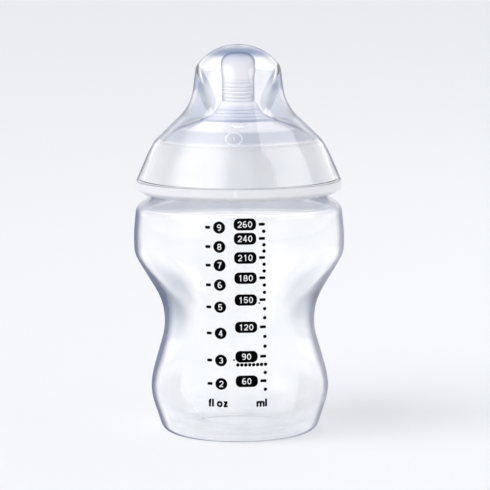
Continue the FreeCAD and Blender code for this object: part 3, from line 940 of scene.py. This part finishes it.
def clear_material(name, weight, roughness, ior, color=(1, 1, 1), rim=None, shades=(), thin=None):
    """Clear or milky plastic that lets most light through to the floor behind it.

    The shades are painted shades, each a tint with the function that says how much of it lies where.
    In the same way the rim says how much grey shade is painted on the front where it turns edge-on,
    and thin says how far light goes straight through.
    """
    material = bpy.data.materials.new(name)
    material.use_nodes = True
    tree = material.node_tree
    tone = tinted(tree, (*color, 1), (0.97, 0.975, 0.985), cloudy(tree, 90.0))
    for tint, amount in shades:
        tone = tinted(tree, tone, tint, amount(tree))
    surface = tree.nodes["Principled BSDF"]
    set_inputs(tree, surface, {
        "Base Color": tone, "Transmission Weight": weight, "Roughness": roughness, "IOR": ior,
    })
    look = surface.outputs["BSDF"]
    if thin:
        straight = add_node(tree, "ShaderNodeBsdfTransparent", {"Color": tone}).outputs["BSDF"]
        look = add_node(tree, "ShaderNodeMixShader", {0: thin(tree), 1: look, 2: straight}).outputs[0]
    # Paints grey shade on the front where the piece turns edge-on.
    if rim:
        behind = add_node(tree, "ShaderNodeNewGeometry").outputs["Backfacing"]
        edge_on = calculate(tree, "SUBTRACT", rim(tree), behind)
        grey = add_node(tree, "ShaderNodeBsdfDiffuse", {"Color": RIM_SHADE_GREY}).outputs["BSDF"]
        look = add_node(tree, "ShaderNodeMixShader", {0: edge_on, 1: look, 2: grey}).outputs[0]
    clear = add_node(tree, "ShaderNodeBsdfTransparent", {"Color": SHADOW_TINT}).outputs["BSDF"]
    in_shadow = add_node(tree, "ShaderNodeLightPath").outputs["Is Shadow Ray"]
    look = add_node(tree, "ShaderNodeMixShader", {0: in_shadow, 1: look, 2: clear}).outputs[0]
    set_inputs(tree, tree.nodes["Material Output"], {"Surface": look})
    return material


def plain_material(name, color, roughness, shine=0.5, grain=40.0, speckle=0.97):
    """An opaque material whose colour goes down to the speckle in small patches."""
    material = bpy.data.materials.new(name)
    material.use_nodes = True
    tree = material.node_tree
    set_inputs(tree, tree.nodes["Principled BSDF"], {
        "Base Color": tinted(tree, (*color, 1), (speckle, speckle, speckle), cloudy(tree, grain)),
        "Roughness": roughness,
        "Specular IOR Level": shine,
    })
    return material


# The painted shades of each piece, each a tint with where it lies.
# The bottle: painted shade on the shoulder and in the scooped sides of the waist.
BOTTLE_SHADES = [((0.67, 0.69, 0.73), shoulder_band), ((0.34, 0.38, 0.46), waist_shade)]
# The hood: painted shade over the dents, darker where they run out under the dome, and in a band
# under its top.
HOOD_SHADES = [
    ((0.62, 0.65, 0.73), dent_shade),
    ((0.32, 0.40, 0.55), dent_corner),
    ((0.51, 0.57, 0.71), level_band(139.6, 142.8, 0.9)),
]
# The ring: its cone painted a little darker than its band and lip, a painted shade.
RING_SHADES = [((0.925, 0.925, 0.925), level_band(93.4, 110))]
# The teat: painted shade on the skirt and over the flare, at the flare's steps and the lowest step's
# riser, between the ribs and along the stem's sides.
TEAT_SHADES = [
    ((0.67, 0.70, 0.745), level_band(108.4, 112.4)),
    ((0.82, 0.84, 0.90), level_band(116.5, 121.0)),
    ((0.60, 0.65, 0.76), stripes(118.92, STEP_SPACING, 116.6, 119.9)),
    ((0.50, 0.55, 0.66), level_band(115.4, 116.5, 0.1)),
    ((0.76, 0.78, 0.84), stripes(LOWEST_RIB, RIB_SPACING, 122, 130.4)),
    ((0.45, 0.48, 0.56), stem_outline),
]

# What the skins and the linings of each piece share.
bottle_look = {"weight": 0.97, "roughness": 0.0, "ior": PLASTIC_IOR, "shades": BOTTLE_SHADES,
               "thin": foot_clearness}
hood_look = {"weight": 1.0, "roughness": 0.0, "ior": PLASTIC_IOR, "shades": HOOD_SHADES}
teat_look = {"weight": 0.5, "roughness": 0.22, "ior": SILICONE_IOR, "color": (0.95, 0.935, 0.94),
             "shades": TEAT_SHADES}
milky_look = {"weight": 0.3, "roughness": 0.3, "ior": PLASTIC_IOR}

bottle_plastic = clear_material("bottle_plastic", rim=bottle_rim, **bottle_look)
bottle_lining = clear_material("bottle_lining", **bottle_look)
hood_plastic = clear_material("hood_plastic", rim=thin_rim(0.74, 0.55), **hood_look)
hood_lining = clear_material("hood_lining", **hood_look)
frosted_edge = clear_material("frosted_edge", weight=0.3, roughness=0.4, ior=PLASTIC_IOR,
                              color=(0.86, 0.87, 0.89))
# The ring's colour is raised as painted light on its band and lip; its cone is painted back down by
# RING_SHADES.
ring_plastic = clear_material("ring_plastic", color=(0.81, 0.81, 0.82), shades=RING_SHADES,
                              **milky_look)
nub_plastic = clear_material("nub_plastic", color=(0.90, 0.90, 0.91), **milky_look)
silicone = clear_material("silicone", rim=thin_rim(0.72, 0.6), **teat_look)
silicone_lining = clear_material("silicone_lining", **teat_look)
# The welts are whiter and milkier than the teat: their own colour, and on the crescent also a painted
# highlight.
silicone_welt = clear_material("silicone_welt", weight=0.4, roughness=0.3, ior=SILICONE_IOR,
                               color=(0.93, 0.94, 0.96))
ink = plain_material("scale_ink", (0.002, 0.002, 0.002), roughness=0.8, shine=0.0)

# Each piece with its materials, the body it rides on, the node it replaces, if any, and its slot.
for piece, materials, body, node, slot in (
    (make_bottle(), [bottle_plastic, bottle_lining], "bottle", "bottle", "clear_plastic"),
    (make_hood(), [hood_plastic, hood_lining, frosted_edge], "hood", "hood", "hood_plastic"),
    (make_ring(), [ring_plastic], "screw_ring", "screw_ring", "milky_plastic"),
    (make_teat(), [silicone, silicone_lining], "teat", "teat", "silicone"),
    (make_ml_marks(), [ink], "bottle", "ml_scale_print", "scale_ink"),
    (make_fl_oz_marks(), [ink], "bottle", "fl_oz_scale_print", "scale_ink"),
    (make_nub(), [nub_plastic], "screw_ring", "", "milky_plastic"),
    *((detail, [silicone_welt], "teat", "", "silicone") for detail in make_teat_details()),
):
    for material in materials:
        piece.data.materials.append(material)
    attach(piece, body)
    if node:
        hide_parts(node)

# ---------------------------------------------------------------------------------------------
# Floor, light and camera
# ---------------------------------------------------------------------------------------------

FLOOR_REACH = 40.0


def turned_towards(place, aim):
    """How a light or a camera is turned to look from its place at what it is aimed at."""
    return (Vector(aim) - Vector(place)).to_track_quat("-Z", "Y").to_euler()


def make_floor():
    corners = [(x * FLOOR_REACH, y * FLOOR_REACH, 0) for x, y in ((-1, -1), (1, -1), (1, 1), (-1, 1))]
    floor = new_piece("floor", corners, [(0, 1, 2, 3)])
    paint = plain_material(
        "floor_paint", (0.82, 0.82, 0.815), roughness=0.9, grain=900.0, speckle=0.985,
    )
    floor.data.materials.append(paint)


def make_softbox(place, aim):
    """A broad soft light."""
    data = bpy.data.lights.new("right_softbox", "AREA")
    data.shape = "RECTANGLE"
    data.size = 1.6
    data.size_y = 1.8
    data.energy = 12
    light = bpy.data.objects.new("right_softbox", data)
    light.location = place
    light.rotation_euler = turned_towards(place, aim)
    bpy.context.scene.collection.objects.link(light)


GLOW_DIRECTION = (-0.66, -0.44, 0.61)


def make_world():
    """A studio bright near the ground and dim overhead, with a broad soft glow at the left front."""
    world = bpy.data.worlds.new("studio")
    world.use_nodes = True
    tree = world.node_tree
    direction = add_node(tree, "ShaderNodeTexCoord").outputs["Generated"]
    _, _, up = split(tree, direction)
    ramp = add_node(tree, "ShaderNodeValToRGB", {"Fac": up})
    low, high = ramp.color_ramp.elements
    low.position = 0.05
    low.color = (0.95, 0.95, 0.96, 1)
    high.position = 0.95
    high.color = (0.34, 0.36, 0.41, 1)
    middle = ramp.color_ramp.elements.new(0.45)
    middle.color = (0.60, 0.61, 0.64, 1)
    nearness = add_node(tree, "ShaderNodeVectorMath", {
        0: direction, 1: Vector(GLOW_DIRECTION).normalized(),
    }, operation="DOT_PRODUCT")
    glow = fade(tree, nearness.outputs["Value"], 0.76, 1.0, 0.0, 2.0)
    total = add_node(tree, "ShaderNodeVectorMath", {0: ramp.outputs["Color"], 1: glow})
    set_inputs(tree, tree.nodes["Background"], {"Color": total.outputs["Vector"], "Strength": 1.29})
    bpy.context.scene.world = world


def make_camera(place, aim, roll):
    """A long lens, rolled by some degrees."""
    data = bpy.data.cameras.new("camera")
    data.lens = 200.0
    data.sensor_width = 36.0
    camera = bpy.data.objects.new("camera", data)
    camera.location = place
    camera.rotation_euler = turned_towards(place, aim)
    camera.rotation_euler.rotate_axis("Z", math.radians(roll))
    bpy.context.scene.collection.objects.link(camera)
    bpy.context.scene.camera = camera


make_floor()
make_world()

# The light stands at the right, high above the bottle.
make_softbox(place=(1.48, -0.40, 1.29), aim=(0, 0, 0.1))

# The camera stands a metre in front of the bottle and a little above it.
make_camera(place=(0.0022, -1.0, 0.194), aim=(0.0022, 0.0, 0.0691), roll=-0.3)

bpy.context.scene.view_settings.view_transform = "Standard"

# Light crosses many walls of clear plastic on its way.
cycles = bpy.context.scene.cycles
cycles.max_bounces = cycles.transmission_bounces = cycles.transparent_max_bounces = 24
